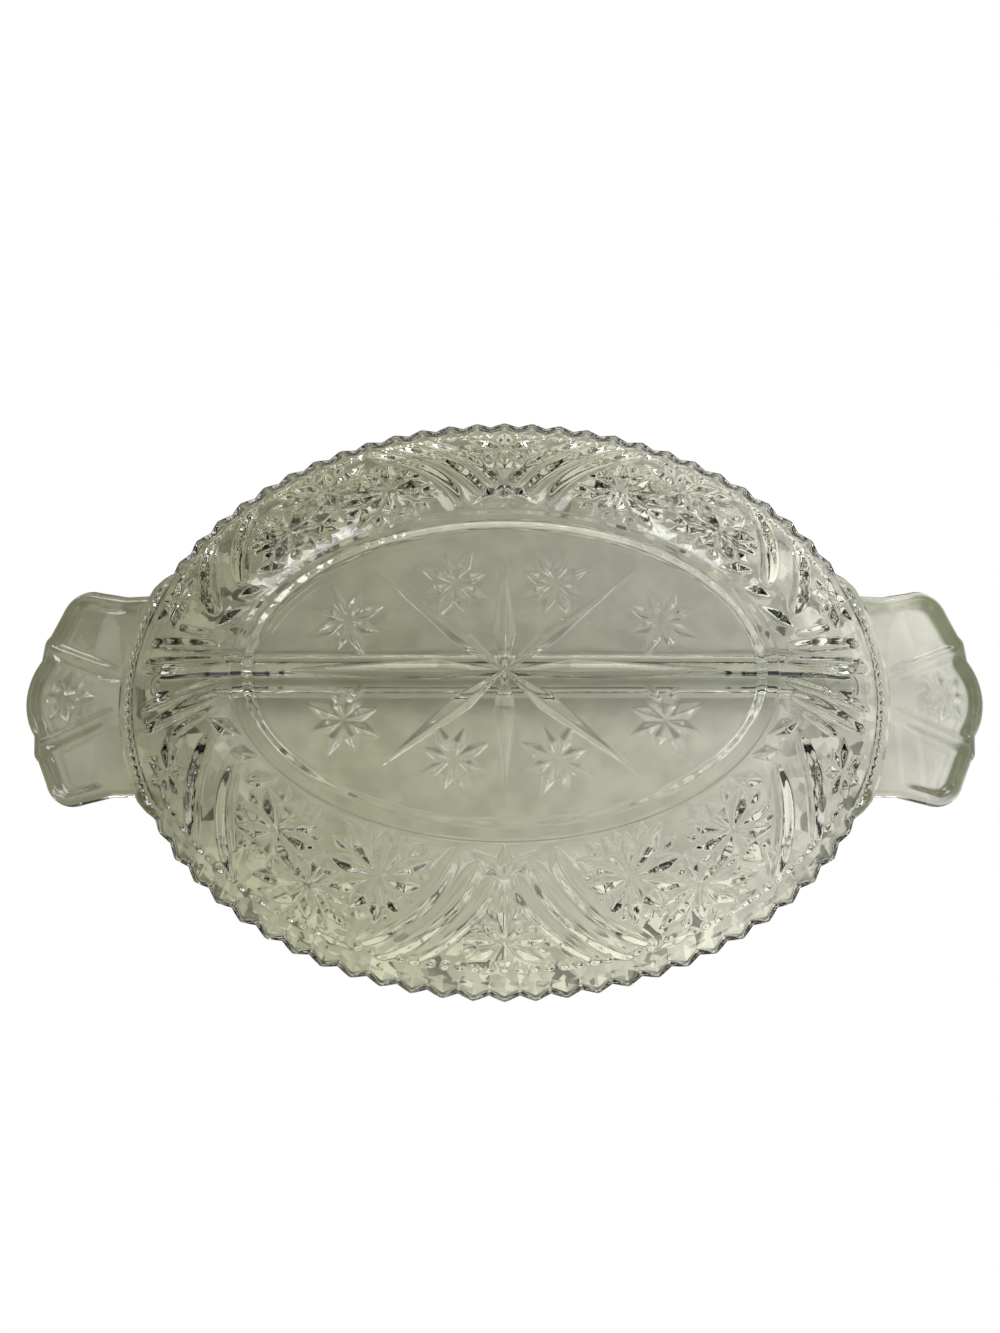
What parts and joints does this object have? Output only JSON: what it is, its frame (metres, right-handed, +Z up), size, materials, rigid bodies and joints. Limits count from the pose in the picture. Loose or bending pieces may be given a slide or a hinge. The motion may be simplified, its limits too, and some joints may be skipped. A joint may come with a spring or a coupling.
{
  "type": "relish tray",
  "caption": "Oval clear pressed-glass relish tray split by a divider, with a star-cut fluted outside, sawtooth rim, foot ring and lobed end handles.",
  "frame": {"origin": "middle of the tray on the plane that its foot ring stands on", "axes": "+X through the right handle, +Y across to the back wall, +Z up out of the wells"},
  "size_m": [0.254, 0.1516, 0.0432],
  "materials": {
    "clear_glass": "gloss"
  },
  "bodies": {
    "root": {"foot_ring": "clear_glass", "floor": "clear_glass", "front_wall": "clear_glass", "back_wall": "clear_glass", "left_end_wall": "clear_glass", "right_end_wall": "clear_glass", "divider": "clear_glass", "left_handle": "clear_glass", "right_handle": "clear_glass"}
  },
  "joints": []
}
